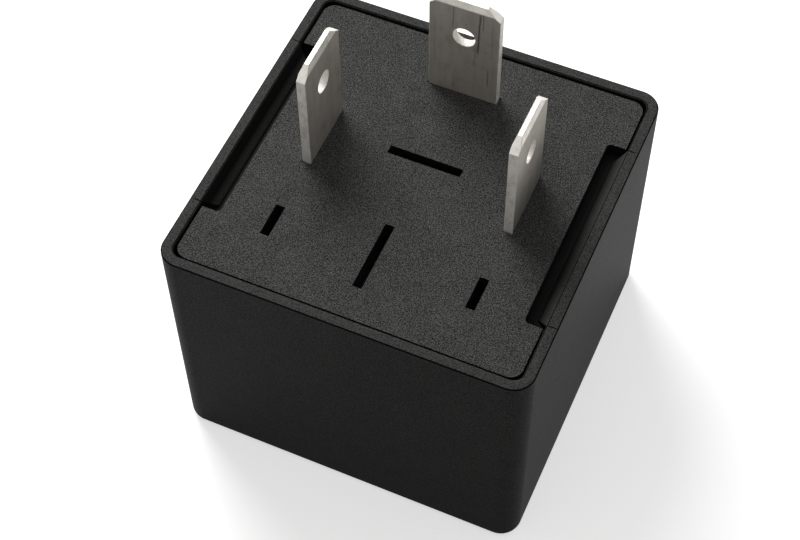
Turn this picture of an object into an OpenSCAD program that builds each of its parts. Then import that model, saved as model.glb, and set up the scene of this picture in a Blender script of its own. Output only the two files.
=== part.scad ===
// Automotive relay in a square plastic can, blades up, closed end of the can on the floor.
// Millimetres. Origin at the centre of the closed end, x along the front edge, y to the back.
// The terminal plate closes the mouth and carries the whole mechanism below it.

/* [Case] */
// Outside width of the can, along x
case_w = 32.4; // [31:0.1:36]
// Outside depth of the can, along y
case_d = 32.2; // [31:0.1:36]
// Height of the can, from the closed end to the rim
case_h = 25.6; // [25:0.1:30]
// Thickness of the four walls
wall_t = 1.0; // [0.8:0.1:1.4]
// Thickness of the closed end
floor_t = 1.2; // [0.8:0.1:1.8]
// Outer radius of the four upright corners
corner_r = 1.9; // [1.6:0.1:2.6]
// Rounding of the edge round the closed end
floor_edge_r = 0.8; // [0.3:0.1:1.2]
// Rounding of the outer edge of the rim
rim_edge_r = 0.25; // [0.1:0.05:0.4]
// Width of each seat rib inside the walls
rib_w = 1.0; // [0.6:0.1:1.6]
// Distance from each seat rib to the wall beside it
rib_inset = 3.0; // [2.5:0.1:4]

/* [Snap fit] */
// Length of the snap wedge inside the left and right walls
wedge_l = 18.9; // [12:0.1:22]
// Reach of the snap wedge in from the wall
wedge_reach = 1.0; // [0.6:0.1:1.2]
// Height of the sloping face of the snap wedge
wedge_h = 1.35; // [1:0.05:1.6]
// Free length at each end of the wedge inside its notch
notch_end_gap = 0.25; // [0.1:0.05:0.6]
// Depth of each notch into the edge of the terminal plate
notch_depth = 1.6; // [1.3:0.1:2]
// Play between the wedge and the ledge it holds
snap_play = 0.05; // [0.02:0.01:0.15]

/* [Terminal plate] */
// Thickness of the terminal plate
base_t = 2.6; // [2.2:0.1:3.2]
// Depth of the plate's face below the rim
rim_recess = 0.25; // [0.1:0.05:0.6]
// Gap all round between the plate and the walls
base_gap = 0.2; // [0.1:0.05:0.4]
// Radius of the plate's corners
base_corner_r = 1.1; // [0.8:0.1:2]
// Height of the bosses that carry the yoke
boss_h = 0.8; // [0.5:0.1:1.2]
// Radius of the bosses
boss_r = 1.4; // [1.2:0.1:1.6]
// Radius of the pegs staked through the yoke
peg_r = 0.8; // [0.6:0.05:1]
// Height of each staked peg head
peg_head_h = 0.6; // [0.4:0.05:0.8]

/* [Blades] */
// Width of a wide blade
blade_w = 6.3; // [6:0.1:6.6]
// Thickness of the blade stock
blade_t = 0.8; // [0.6:0.05:1]
// Free height of a blade above the plate
blade_h = 11.1; // [9:0.1:13]
// Radius of the hole through a blade
blade_hole_r = 1.0; // [0.6:0.05:1.2]
// Height of that hole above the plate
blade_hole_z = 7.1; // [5:0.1:8]
// Width of the corner cut at a blade's tip
tip_cut_w = 1.2; // [0.6:0.1:1.8]
// Height of the corner cut at a blade's tip
tip_cut_h = 1.0; // [0.5:0.1:1.6]
// Depth of the bevel on both faces of the tip
tip_bevel = 0.2; // [0.1:0.02:0.28]
// Height of that bevel
tip_bevel_h = 0.6; // [0.3:0.1:1]
// Distance of each side blade from the centre line
side_blade_x = 9.05; // [8.8:0.05:9.6]
// Place of the side blades along y
side_blade_y = 1.0; // [0.4:0.1:1.6]
// Place of the load blade along y
load_blade_y = 10.3; // [9.8:0.1:10.8]
// Extra width of each shoulder that stops a blade under the plate
shoulder_w = 0.95; // [0.5:0.05:1.2]
// Height of the shoulders
shoulder_h = 1.5; // [1:0.1:2]
// Width of the blades' inner legs
leg_w = 4.6; // [4:0.1:5.2]
// Length of the side blades' inner legs below the plate
side_leg_l = 14.2; // [13:0.1:15.5]
// Inside radius of the contact bracket's bend
foot_bend_r = 0.5; // [0.3:0.05:0.8]
// Height of the bracket's upright, welded to the back of the load blade's leg
bracket_h = 4.0; // [3:0.1:6]

/* [Slots] */
// Play of a blade in the thickness of its slot, on each side
slot_play_t = 0.01; // [0.01:0.01:0.06]
// Play of a blade at each end of its slot
slot_play_w = 0.15; // [0.05:0.01:0.25]
// Place of the middle spare slot along y
mid_slot_y = 1.85; // [1.4:0.05:2.4]
// Place of the front spare slot along y
front_slot_y = -8.65; // [-9.2:0.05:-8]
// Length of the small spare slots
small_slot_l = 3.15; // [2.6:0.05:3.3]
// Place of the small spare slots along y
small_slot_y = -8.7; // [-9.2:0.05:-8.4]

/* [Yoke and core] */
// Thickness of the yoke
yoke_t = 1.5; // [1.2:0.1:1.8]
// Width of the yoke
yoke_w = 13; // [12.6:0.1:13.6]
// Inside radius of the yoke's bend
yoke_bend_r = 0.5; // [0.3:0.05:0.8]
// Room for the return spring between the yoke and the front wall
spring_room = 2.7; // [2.6:0.05:3]
// Radius of the core's shank
core_r = 3.0; // [2.4:0.1:3.2]
// Radius of the core's pole head
pole_r = 4.3; // [3.6:0.1:4.8]
// Thickness of the pole head
pole_t = 0.95; // [0.7:0.05:1.2]
// Radius of the core's neck through the yoke
neck_r = 2.2; // [1.8:0.1:2.4]
// Height of the riveted head on the neck
neck_head_h = 0.5; // [0.3:0.05:0.7]
// Reach of the two keeper lugs below the yoke's end
keeper_l = 2.1; // [1.8:0.1:2.4]
// Thickness of the spring's lug on the yoke
lug_t = 1.2; // [1:0.1:1.5]

/* [Coil] */
// Room between the closed end and the pole face, for the armature; the bobbin fills the rest
arm_room = 4.85; // [4.6:0.05:5.6]
// Side of the bobbin's square flanges
flange_w = 13.6; // [13:0.1:14]
// Thickness of the flanges
flange_t = 1.0; // [0.8:0.1:1.4]
// Corner radius of the flanges
flange_r = 1.2; // [0.6:0.1:2]
// Wall of the bobbin's tube
bobbin_wall = 0.9; // [0.6:0.05:1.1]
// Outer radius of the winding
winding_r = 6.2; // [5.4:0.1:6.3]
// Thickness of the tape round the winding
tape_t = 0.12; // [0.08:0.01:0.2]
// Length of winding left bare at each end of the tape
tape_inset = 1.5; // [1.2:0.1:2.5]

/* [Armature] */
// Thickness of the armature
arm_t = 1.3; // [1:0.05:1.6]
// Width of the armature
arm_w = 12; // [11:0.1:13]
// Angle the armature falls open
open_angle = 2.2; // [1.5:0.05:2.6]
// Air gap left between armature and pole when it is pulled in
closed_gap = 0.12; // [0.08:0.01:0.2]
// Height the residual stud stands above the armature
stud_proud = 0.07; // [0.02:0.01:0.07]
// Radius of the residual stud
stud_r = 1.0; // [0.6:0.1:1.5]
// Half width of the finger that a spring hook goes round
finger_half = 0.75; // [0.6:0.05:0.8]

/* [Contacts] */
// Thickness of the contact leaf
leaf_t = 0.3; // [0.2:0.02:0.4]
// Width of the leaf under the armature
leaf_wide = 8; // [7.4:0.1:9]
// Width of the leaf's free arm
leaf_arm_w = 4.8; // [4:0.1:5.2]
// Height of the moving contact above the leaf
moving_h = 0.72; // [0.5:0.02:1]
// Radius of the moving contact
moving_r = 1.3; // [1:0.05:1.5]
// Height of the fixed contact below the foot
fixed_h = 0.57; // [0.4:0.01:0.8]
// Radius of the fixed contact
fixed_r = 1.4; // [1.1:0.05:1.5]
// Radius of the shanks of both contacts
contact_shank_r = 0.7; // [0.5:0.05:0.8]
// Height of the upset tails of both contacts
contact_tail_h = 0.3; // [0.2:0.02:0.4]
// Radius of the leaf's two rivets
rivet_r = 0.6; // [0.4:0.05:0.8]
// Distance of each rivet from the centre line
rivet_x = 2.6; // [2:0.1:2.8]
// Height of the rivets' heads
rivet_head_h = 0.4; // [0.3:0.05:0.6]

/* [Spring, braid and wires] */
// Radius of the return spring's wire
spring_wire_r = 0.17; // [0.12:0.01:0.2]
// Mean radius of the return spring
spring_r = 0.9; // [0.7:0.02:0.95]
// Turns of the return spring
spring_turns = 8; // [5:1:10]
// Distance from the pole face up to the spring's lug
spring_l = 9.0; // [8:0.1:10]
// Radius of the braid
braid_r = 0.5; // [0.3:0.05:0.6]
// Radius of the coil's wires
coil_wire_r = 0.15; // [0.1:0.01:0.2]
// Height of the coil's wires below the plate
coil_wire_drop = 4.3; // [4:0.1:4.6]
// Radius of the resistor's leads
lead_r = 0.25; // [0.2:0.01:0.3]
// Radius of the resistor's body
resistor_r = 1.2; // [0.9:0.05:1.4]
// Length of the resistor's body
resistor_l = 6.5; // [5.5:0.1:7.5]
// Height of the resistor's axis below the plate
resistor_drop = 6.4; // [6:0.1:8]
// Height of each solder cone
solder_h = 0.45; // [0.3:0.05:0.7]
// Spread of each solder cone round its wire
solder_w = 0.55; // [0.4:0.05:0.7]

/* [Hidden] */

$fn = 48;
small_fn = 24;        // segments of small round parts
over = 1;             // how far a cutter runs past what it cuts
shank_gap = 0.03;     // radial play of a fixed shank in its hole
seat_gap = 0.05;      // play between the bobbin and what holds it
touch_gap = 0.03;     // gap left between the contacts when pulled in
stop_gap = 0.05;      // gap between the open armature and its stops
side_gap = 0.3;       // play between the armature and the keepers
wire_gap = 0.05;      // radial play of a wire in its hole
solder_gap = 0.01;    // radial play of a wire in its solder

inner_w = case_w - 2 * wall_t;
inner_d = case_d - 2 * wall_t;
inner_r = corner_r - wall_t;

// heights, from the rim down
base_top = case_h - rim_recess;
base_bot = base_top - base_t;
yoke_top = base_bot - boss_h;
yoke_bot = yoke_top - yoke_t;
pole_face = floor_t + arm_room;
pole_top = pole_face + pole_t;
bobbin_top = yoke_bot - seat_gap;
bobbin_bot = pole_top + seat_gap;
bobbin_l = bobbin_top - bobbin_bot;
winding_top = bobbin_top - flange_t;
winding_bot = bobbin_bot + flange_t;

// the terminal plate
base_w = inner_w - 2 * base_gap;
base_d = inner_d - 2 * base_gap;
wedge_top = base_top + rim_recess * 0.6;
wedge_bot = wedge_top - wedge_h;
ledge_top = wedge_bot - snap_play;
notch_l = wedge_l + 2 * notch_end_gap;
notch_r = 0.4;
slot_t = blade_t + 2 * slot_play_t;
slot_l = blade_w + 2 * slot_play_w;
rib_seat = 0.7;
rib_reach = base_gap + rib_seat;

// the magnet, from the front wall back
yoke_front = -inner_d / 2 + spring_room;
yoke_back_face = yoke_front + yoke_t;
coil_gap = 1.1;
yoke_over = 3.0;
boss_inset = 0.1;
coil_y = yoke_back_face + coil_gap + flange_w / 2;
flange_back = coil_y + flange_w / 2;
yoke_end = flange_back + yoke_over;
peg_head_w = 0.4;
peg_head_r = peg_r + peg_head_w;
back_peg_y = yoke_end - boss_r - boss_inset;
back_peg_x = 4.2;
peg_clear = 0.1;
ear_clear = 0.85;
ear_w = 1.5;
ear_d = 1.6;
ear_peg_x = flange_w / 2 + peg_clear + peg_head_r;
ear_peg_y = side_blade_y - blade_w / 2 - shoulder_w - boss_r - ear_clear;
keeper_w = 1.2;
bobbin_bore_play = 0.1;
bobbin_bore_r = core_r + bobbin_bore_play;
bobbin_tube_r = bobbin_bore_r + bobbin_wall;

// the armature pulled in flat, before it falls open
hinge_y = yoke_front;
hinge_z = pole_face - seat_gap;
arm_top = pole_face - closed_gap;
arm_bot = arm_top - arm_t;
arm_front = yoke_back_face + side_gap;
arm_short = 0.8;
arm_end = flange_back - arm_short;
tail_start = yoke_front - side_gap;
spring_set_back = 0.2;
hook_head = 0.4;
spring_y = yoke_front - spring_room / 2 + spring_set_back;
loop_gap = 0.06;
loop_neck = 0.5;
finger_past = 0.28;
finger_end = spring_y - spring_wire_r - finger_past;
tail_end = finger_end - hook_head;
neck_half = yoke_w / 2 - keeper_w - side_gap;

// the contacts
leaf_top = arm_bot;
leaf_bot = leaf_top - leaf_t;
contact_tail_w = 0.4;
foot_clear = 0.1;
tail_r = contact_shank_r + contact_tail_w;
leg_front = load_blade_y - blade_t / 2;
leg_lap = 0.3;
leg_end_gap = 0.1;
contact_y = leg_front - foot_bend_r - tail_r - foot_clear;
foot_tip = contact_y - fixed_r - 2 * foot_clear;
fixed_face = leaf_top + moving_h + touch_gap;
foot_bot = fixed_face + fixed_h;
foot_top = foot_bot + blade_t;
leaf_root = 3;
leaf_free = 3;
rivet_inset = 1.6;
rivet_head_w = 0.4;
leaf_start = coil_y - leaf_root;
leaf_step = arm_end - leaf_free;
rivet_y = leaf_step - rivet_inset;

// the back stops, which the open armature rests on
stop_side_gap = 0.6;
stop_half_gap = leaf_arm_w / 2 + stop_side_gap;
stop_w = 2;
stop_reach = 1.3;
stop_arm_t = 1.1;
stop_lap = 0.1;
stop_back_gap = 0.6;
stop_arm_y = arm_end + stop_back_gap;
open_drop = (stop_arm_y - hinge_y) * sin(open_angle);
stop_top = hinge_z + (arm_bot - hinge_z) * cos(open_angle) - open_drop - stop_gap;
stop_t = 0.9;

// wires
side_leg_bot = base_bot - side_leg_l;
coil_wire_z = base_bot - coil_wire_drop;
coil_wire_in = 1.5;
lead_in = 1.3;
coil_wire_y = side_blade_y - coil_wire_in;
resistor_z = base_bot - resistor_drop;
resistor_y = (flange_back + load_blade_y - blade_t / 2) / 2;
lead_y = side_blade_y + lead_in;
wire_out = 0.5;
wire_start_gap = 0.25;
resistor_cap_l = 1.4;
resistor_step = 0.15;
resistor_edge = 0.35;
lead_bend_gap = 1.1;
wire_end = side_blade_x + blade_t / 2 + wire_out;

// the braid's route, from the supply blade's leg round the coil's flange to the leaf
braid_leg_inset = 0.2;
braid_rise = 2.5;
braid_fall = 3.5;
braid_clear = 1.4;
braid_bow = 2.75;
braid_lift = 0.7;
braid_touch = 0.05;
braid_end_x = -1.2;
braid_end_y = stop_arm_y + stop_arm_t - stop_lap + braid_r + 2 * braid_touch;

// upright plate with round corners, centred, standing on z = 0
module round_plate(w, d, h, r) {
    linear_extrude(h) union() {
        square([w - 2 * r, d], center = true);
        square([w, d - 2 * r], center = true);
        for (sx = [-1, 1], sy = [-1, 1])
            translate([sx * (w / 2 - r), sy * (d / 2 - r)]) circle(r);
    }
}

// what a round edge takes away, in the plane across that edge; u is measured from the corner's axis
module edge_waste(u, r) {
    difference() {
        translate([u - r, -over]) square([r + over, r + over]);
        translate([u - r, r]) circle(r);
    }
}

// ring that rounds the lower edge of a round_plate
module edge_cutter(w, d, r_corner, r_edge) {
    for (side = [0, 1])
        for (s = [-1, 1]) {
            straight = (side == 0 ? w : d) - 2 * r_corner;
            across = (side == 0 ? d : w) / 2 - r_corner;
            rotate([0, 0, 90 * side + (s > 0 ? 0 : 180)]) translate([-straight / 2, across, 0])
                rotate([90, 0, 90]) linear_extrude(straight) edge_waste(r_corner, r_edge);
        }
    for (q = [0:3]) {
        sx = (q == 0 || q == 3) ? 1 : -1;
        sy = q < 2 ? 1 : -1;
        translate([sx * (w / 2 - r_corner), sy * (d / 2 - r_corner), 0])
            rotate([0, 0, 90 * q]) rotate_extrude(angle = 90) edge_waste(r_corner, r_edge);
    }
}

// round bar from one point to another
module rod(a, b, r) {
    v = b - a;
    translate(a) rotate([0, acos(v.z / norm(v)), atan2(v.y, v.x)])
        cylinder(h = norm(v), r = r, $fn = small_fn);
}

// wire through a list of points, with round elbows
module wire(points, r) {
    for (i = [0:len(points) - 2]) rod(points[i], points[i + 1], r);
    for (i = [1:len(points) - 2]) translate(points[i]) sphere(r, $fn = small_fn);
}

function unit(v) = v / norm(v);
function along(p, i) = unit(p[min(i + 1, len(p) - 1)] - p[max(i - 1, 0)]);
function across(n, t) = unit(n - (n * t) * t);
function side_normals(p, first) =
    [for (i = 0, n = across(first, along(p, 0)); i < len(p);
        n = across(n, along(p, min(i + 1, len(p) - 1))), i = i + 1) n];

// bent bar swept along a path; first is a direction across the path's start
module swept(path, r, sides, first) {
    normals = side_normals(path, first);
    rings = [for (i = [0:len(path) - 1], k = [0:sides - 1])
        let (t = along(path, i), n = normals[i], b = cross(t, n), a = 360 * k / sides)
        path[i] + r * (cos(a) * n + sin(a) * b)];
    last = (len(path) - 1) * sides;
    walls = [for (i = [0:len(path) - 2], k = [0:sides - 1])
        let (a = i * sides + k, b = i * sides + (k + 1) % sides)
        each [[a, b, b + sides], [a, b + sides, a + sides]]];
    caps = [[for (k = [sides - 1:-1:0]) k], [for (k = [0:sides - 1]) last + k]];
    polyhedron(rings, concat([for (w = walls) [w[2], w[1], w[0]]],
        [for (c = caps) [for (k = [len(c) - 1:-1:0]) c[k]]]));
}

// the armature's parts are drawn pulled in, then fall open about the yoke's edge
module fallen_open() {
    translate([0, hinge_y, hinge_z]) rotate([-open_angle, 0, 0])
        translate([0, -hinge_y, -hinge_z]) children();
}

module case_shell() {
    difference() {
        round_plate(case_w, case_d, case_h, corner_r);
        translate([0, 0, floor_t]) round_plate(inner_w, inner_d, case_h, inner_r);
        edge_cutter(case_w, case_d, corner_r, floor_edge_r);
        translate([0, 0, case_h]) mirror([0, 0, 1])
            edge_cutter(case_w, case_d, corner_r, rim_edge_r);
    }
}

// sloping lip that snaps over the plate's ledge, mitred in plan at both ends
module snap_wedge() {
    wall_x = inner_w / 2;
    intersection() {
        rotate([90, 0, 0]) linear_extrude(wedge_l + over, center = true)
            polygon([[wall_x + wall_t / 2, wedge_bot], [wall_x - wedge_reach, wedge_bot],
                [wall_x - wedge_reach, wedge_bot + 0.15], [wall_x, wedge_top],
                [wall_x + wall_t / 2, wedge_top]]);
        linear_extrude(case_h)
            polygon([[wall_x + wall_t / 2, -wedge_l / 2], [wall_x, -wedge_l / 2],
                [wall_x - wedge_reach, -wedge_l / 2 + wedge_reach],
                [wall_x - wedge_reach, wedge_l / 2 - wedge_reach], [wall_x, wedge_l / 2],
                [wall_x + wall_t / 2, wedge_l / 2]]);
    }
}

module case_can() {
    color([0.12, 0.12, 0.12]) union() {
        case_shell();
        for (s = [0, 1]) mirror([s, 0, 0]) snap_wedge();
        // seat ribs, two inside each wall, that the plate's underside rests on
        for (sx = [-1, 1], sy = [-1, 1]) {
            translate([sx * (inner_w / 2 - (rib_reach - wall_t / 2) / 2) - (rib_reach + wall_t / 2) / 2,
                sy * (inner_d / 2 - rib_inset) - rib_w / 2, floor_t / 2])
                cube([rib_reach + wall_t / 2, rib_w, base_bot - floor_t / 2]);
            translate([sx * (inner_w / 2 - rib_inset) - rib_w / 2,
                sy * (inner_d / 2 - (rib_reach - wall_t / 2) / 2) - (rib_reach + wall_t / 2) / 2,
                floor_t / 2])
                cube([rib_w, rib_reach + wall_t / 2, base_bot - floor_t / 2]);
        }
    }
}

module slot(x, y, lx, ly) {
    translate([x - lx / 2, y - ly / 2, base_bot - over]) cube([lx, ly, base_t + 2 * over]);
}

// boss, peg and staked head that hold the yoke under the plate
module stake(x, y) {
    translate([x, y, yoke_top]) cylinder(h = boss_h + base_t / 2, r = boss_r);
    translate([x, y, yoke_bot - peg_head_h / 2])
        cylinder(h = yoke_t + boss_h, r = peg_r, $fn = small_fn);
    translate([x, y, yoke_bot - peg_head_h])
        cylinder(h = peg_head_h, r1 = (peg_r + peg_head_r) / 2, r2 = peg_head_r, $fn = small_fn);
}

module base_plate() {
    color([0.16, 0.16, 0.16]) union() {
        difference() {
            translate([0, 0, base_bot]) round_plate(base_w, base_d, base_t, base_corner_r);
            for (s = [-1, 1]) translate([s * base_w / 2, 0, ledge_top])
                round_plate(2 * notch_depth, notch_l, base_t, notch_r);
            slot(0, load_blade_y, slot_l, slot_t);
            for (s = [-1, 1]) slot(s * side_blade_x, side_blade_y, slot_t, slot_l);
            slot(0, mid_slot_y, slot_l, slot_t);
            slot(0, front_slot_y, slot_t, slot_l);
            for (s = [-1, 1]) slot(s * side_blade_x, small_slot_y, slot_t, small_slot_l);
        }
        for (s = [-1, 1]) {
            stake(s * back_peg_x, back_peg_y);
            stake(s * ear_peg_x, ear_peg_y);
        }
    }
}

// quarter bend of flat stock that runs along x; turn sets which quarter it fills
module quarter_bend(r_in, t, w, turn) {
    rotate([90, 0, 90]) rotate([0, 0, turn]) rotate_extrude(angle = 90)
        translate([r_in, 0]) square([t, w]);
}

// blade and shoulder in a plane across y, with the plate's upper face at z = 0
module blade_stock() {
    half = blade_w / 2;
    low = -base_t - shoulder_h;
    difference() {
        intersection() {
            rotate([90, 0, 0]) linear_extrude(blade_t, center = true)
                polygon([[-half, -base_t], [-half, blade_h - tip_cut_h],
                    [-half + tip_cut_w, blade_h], [half - tip_cut_w, blade_h],
                    [half, blade_h - tip_cut_h], [half, -base_t], [half + shoulder_w, -base_t],
                    [half + shoulder_w, low], [-half - shoulder_w, low],
                    [-half - shoulder_w, -base_t]]);
            rotate([90, 0, 90]) linear_extrude(blade_w + 4 * shoulder_w, center = true)
                polygon([[-blade_t / 2, low], [-blade_t / 2, blade_h - tip_bevel_h],
                    [-blade_t / 2 + tip_bevel, blade_h], [blade_t / 2 - tip_bevel, blade_h],
                    [blade_t / 2, blade_h - tip_bevel_h], [blade_t / 2, low]]);
        }
        translate([0, 0, blade_hole_z]) rotate([90, 0, 0])
            cylinder(h = blade_t + 2 * over, r = blade_hole_r, center = true);
    }
}

module load_blade() {
    leg_top = base_bot - shoulder_h + leg_lap;
    leg_bot = foot_top + foot_bend_r + leg_end_gap;
    color([0.55, 0.53, 0.5]) union() {
        translate([0, load_blade_y, base_top]) blade_stock();
        translate([-leg_w / 2, leg_front, leg_bot]) cube([leg_w, blade_t, leg_top - leg_bot]);
    }
}

// upright against the back of the load blade's leg, bent forward under it to carry the fixed contact
module contact_bracket() {
    upright_y = load_blade_y + blade_t / 2;
    bend_z = foot_top + foot_bend_r;
    color([0.6, 0.57, 0.52]) difference() {
        union() {
            translate([-leg_w / 2, upright_y, bend_z]) cube([leg_w, blade_t, bracket_h]);
            translate([-leg_w / 2, upright_y - foot_bend_r, bend_z])
                quarter_bend(foot_bend_r, blade_t, leg_w, -90);
            translate([-leg_w / 2, foot_tip, foot_bot])
                cube([leg_w, upright_y - foot_bend_r - foot_tip, blade_t]);
        }
        translate([0, contact_y, foot_bot - over])
            cylinder(h = blade_t + 2 * over, r = contact_shank_r + shank_gap, $fn = small_fn);
    }
}

// side blade in its own plane: y runs along its width, side is -1 on the left and 1 on the right
module side_blade(side) {
    leg_top = base_bot - shoulder_h + leg_lap;
    difference() {
        translate([side * side_blade_x, side_blade_y, 0]) union() {
            translate([0, 0, base_top]) rotate([0, 0, 90]) blade_stock();
            translate([-blade_t / 2, -leg_w / 2, side_leg_bot])
                cube([blade_t, leg_w, leg_top - side_leg_bot]);
        }
        for (p = [[coil_wire_y, coil_wire_z, coil_wire_r], [lead_y, resistor_z, lead_r]])
            translate([side * side_blade_x, p[0], p[1]]) rotate([0, 90, 0])
                cylinder(h = blade_t + 2 * over, r = p[2] + wire_gap, center = true, $fn = small_fn);
    }
}

module supply_blade() {
    color([0.55, 0.53, 0.5]) side_blade(-1);
}

module coil_blade() {
    color([0.55, 0.53, 0.5]) side_blade(1);
}

// finger that a spring hook goes round, with a wider head at its end
module hook_finger(root_y, t) {
    translate([-finger_half, finger_end - 0.1, 0]) cube([2 * finger_half, root_y - finger_end + 0.2, t]);
    translate([-2 * finger_half, tail_end, 0]) cube([4 * finger_half, finger_end - tail_end, t]);
}

module yoke() {
    half = yoke_w / 2;
    bend_y = yoke_back_face + yoke_bend_r;
    bend_z = yoke_bot - yoke_bend_r;
    color([0.62, 0.62, 0.6]) difference() {
        union() {
            // top plate with two side ears
            translate([-half, bend_y, yoke_bot]) cube([yoke_w, yoke_end - bend_y, yoke_t]);
            translate([-ear_peg_x - ear_w, ear_peg_y - ear_d, yoke_bot])
                cube([2 * (ear_peg_x + ear_w), 2 * ear_d, yoke_t]);
            // bend and upright leg
            translate([-half, bend_y, bend_z]) quarter_bend(yoke_bend_r, yoke_t, yoke_w, 90);
            translate([-half, yoke_front, pole_face]) cube([yoke_w, yoke_t, bend_z - pole_face]);
            // keepers beside the armature's neck
            for (s = [-1, 1]) translate([s * (half - keeper_w / 2) - keeper_w / 2, yoke_front,
                pole_face - keeper_l]) cube([keeper_w, yoke_t, keeper_l + 0.5]);
            translate([0, 0, pole_face + spring_l]) hook_finger(yoke_front, lug_t);
        }
        translate([0, coil_y, yoke_bot - over]) cylinder(h = yoke_t + 2 * over, r = neck_r + shank_gap);
        for (s = [-1, 1], p = [[back_peg_x, back_peg_y], [ear_peg_x, ear_peg_y]])
            translate([s * p[0], p[1], yoke_bot - over])
                cylinder(h = yoke_t + 2 * over, r = peg_r + shank_gap, $fn = small_fn);
    }
}

module core() {
    color([0.7, 0.7, 0.68]) translate([0, coil_y, 0]) rotate_extrude()
        polygon([[0, pole_face], [pole_r - 0.2, pole_face], [pole_r, pole_face + 0.2],
            [pole_r, pole_top], [core_r, pole_top], [core_r, yoke_bot], [neck_r, yoke_bot],
            [neck_r, yoke_top], [neck_r + 0.5, yoke_top], [neck_r + 0.3, yoke_top + neck_head_h],
            [0, yoke_top + neck_head_h]]);
}

module bobbin() {
    color([0.85, 0.82, 0.72]) difference() {
        union() {
            translate([0, coil_y, bobbin_bot]) cylinder(h = bobbin_l, r = bobbin_tube_r);
            for (z = [bobbin_bot, winding_top]) translate([0, coil_y, z])
                round_plate(flange_w, flange_w, flange_t, flange_r);
            // two hooks that reach round the armature's free end and stop it when it opens
            for (s = [-1, 1]) translate([s * (stop_half_gap + stop_w / 2) - stop_w / 2, 0, 0]) {
                translate([0, stop_arm_y - stop_lap, stop_top - stop_t])
                    cube([stop_w, stop_arm_t, bobbin_bot + flange_t / 2 - stop_top + stop_t]);
                translate([0, arm_end - stop_reach, stop_top - stop_t])
                    cube([stop_w, stop_reach + stop_arm_y - arm_end, stop_t]);
                translate([0, flange_back - 1, bobbin_bot])
                    cube([stop_w, 1 + stop_arm_y + stop_arm_t - stop_lap - flange_back, flange_t]);
            }
        }
        translate([0, coil_y, bobbin_bot - over]) cylinder(h = bobbin_l + 2 * over, r = bobbin_bore_r);
    }
}

// hollow round sleeve
module sleeve(r_in, r_out, z0, z1) {
    translate([0, coil_y, z0]) rotate_extrude() translate([r_in, 0]) square([r_out - r_in, z1 - z0]);
}

module winding() {
    color([0.62, 0.3, 0.14])
        sleeve(bobbin_tube_r + 0.02, winding_r, winding_bot + 0.02, winding_top - 0.02);
}

module winding_tape() {
    color([0.85, 0.7, 0.2])
        sleeve(winding_r + 0.02, winding_r + 0.02 + tape_t, winding_bot + tape_inset,
            winding_top - tape_inset);
}

module armature() {
    half = arm_w / 2;
    color([0.66, 0.66, 0.64]) fallen_open() difference() {
        union() {
            translate([-half, arm_front, arm_bot]) cube([arm_w, arm_end - arm_front, arm_t]);
            translate([-neck_half, tail_start - 0.1, arm_bot])
                cube([2 * neck_half, arm_front - tail_start + 0.2, arm_t]);
            translate([0, 0, arm_bot]) hook_finger(tail_start, arm_t);
            translate([-half, spring_y + spring_wire_r + side_gap / 2, arm_bot])
                cube([arm_w, tail_start - spring_y - spring_wire_r - side_gap / 2, arm_t]);
        }
        translate([0, coil_y, arm_bot - over])
            cylinder(h = arm_t + 2 * over, r = stud_r + shank_gap, $fn = small_fn);
        for (s = [-1, 1]) translate([s * rivet_x, rivet_y, arm_bot - over])
            cylinder(h = arm_t + 2 * over, r = rivet_r + shank_gap, $fn = small_fn);
    }
}

module residual_stud() {
    color([0.72, 0.6, 0.3]) fallen_open() translate([0, coil_y, arm_bot])
        cylinder(h = arm_t + stud_proud, r = stud_r, $fn = small_fn);
}

module contact_leaf() {
    tip_r = leaf_arm_w / 2;
    color([0.75, 0.5, 0.3]) fallen_open() difference() {
        translate([0, 0, leaf_bot]) linear_extrude(leaf_t) union() {
            translate([-leaf_wide / 2, leaf_start]) square([leaf_wide, leaf_step - leaf_start]);
            translate([-tip_r, leaf_step - 1]) square([leaf_arm_w, contact_y - leaf_step + 1]);
            translate([0, contact_y]) circle(tip_r);
        }
        translate([0, contact_y, leaf_bot - over])
            cylinder(h = leaf_t + 2 * over, r = contact_shank_r + shank_gap, $fn = small_fn);
        for (s = [-1, 1]) translate([s * rivet_x, rivet_y, leaf_bot - over])
            cylinder(h = leaf_t + 2 * over, r = rivet_r + shank_gap, $fn = small_fn);
    }
}

module leaf_rivets() {
    color([0.7, 0.7, 0.7]) fallen_open() for (s = [-1, 1])
        translate([s * rivet_x, rivet_y, leaf_bot - rivet_head_h]) {
            cylinder(h = rivet_head_h, r = rivet_r + rivet_head_w, $fn = small_fn);
            cylinder(h = rivet_head_h + leaf_t + arm_t, r = rivet_r, $fn = small_fn);
        }
}

// contact rivet: chamfered face up, shank down through stock, upset tail below; z = 0 at the stock
module contact_rivet(r, h, stock) {
    rotate_extrude($fn = small_fn)
        polygon([[0, -stock - contact_tail_h], [tail_r - 0.2, -stock - contact_tail_h],
            [tail_r, -stock], [contact_shank_r, -stock], [contact_shank_r, 0],
            [r, 0], [r, h - 0.2], [r - 0.3, h], [0, h]]);
}

module moving_contact() {
    color([0.85, 0.84, 0.8]) fallen_open() translate([0, contact_y, leaf_top])
        contact_rivet(moving_r, moving_h, leaf_t);
}

module fixed_contact() {
    color([0.85, 0.84, 0.8]) translate([0, contact_y, foot_bot]) rotate([180, 0, 0])
        contact_rivet(fixed_r, fixed_h, blade_t);
}

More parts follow.
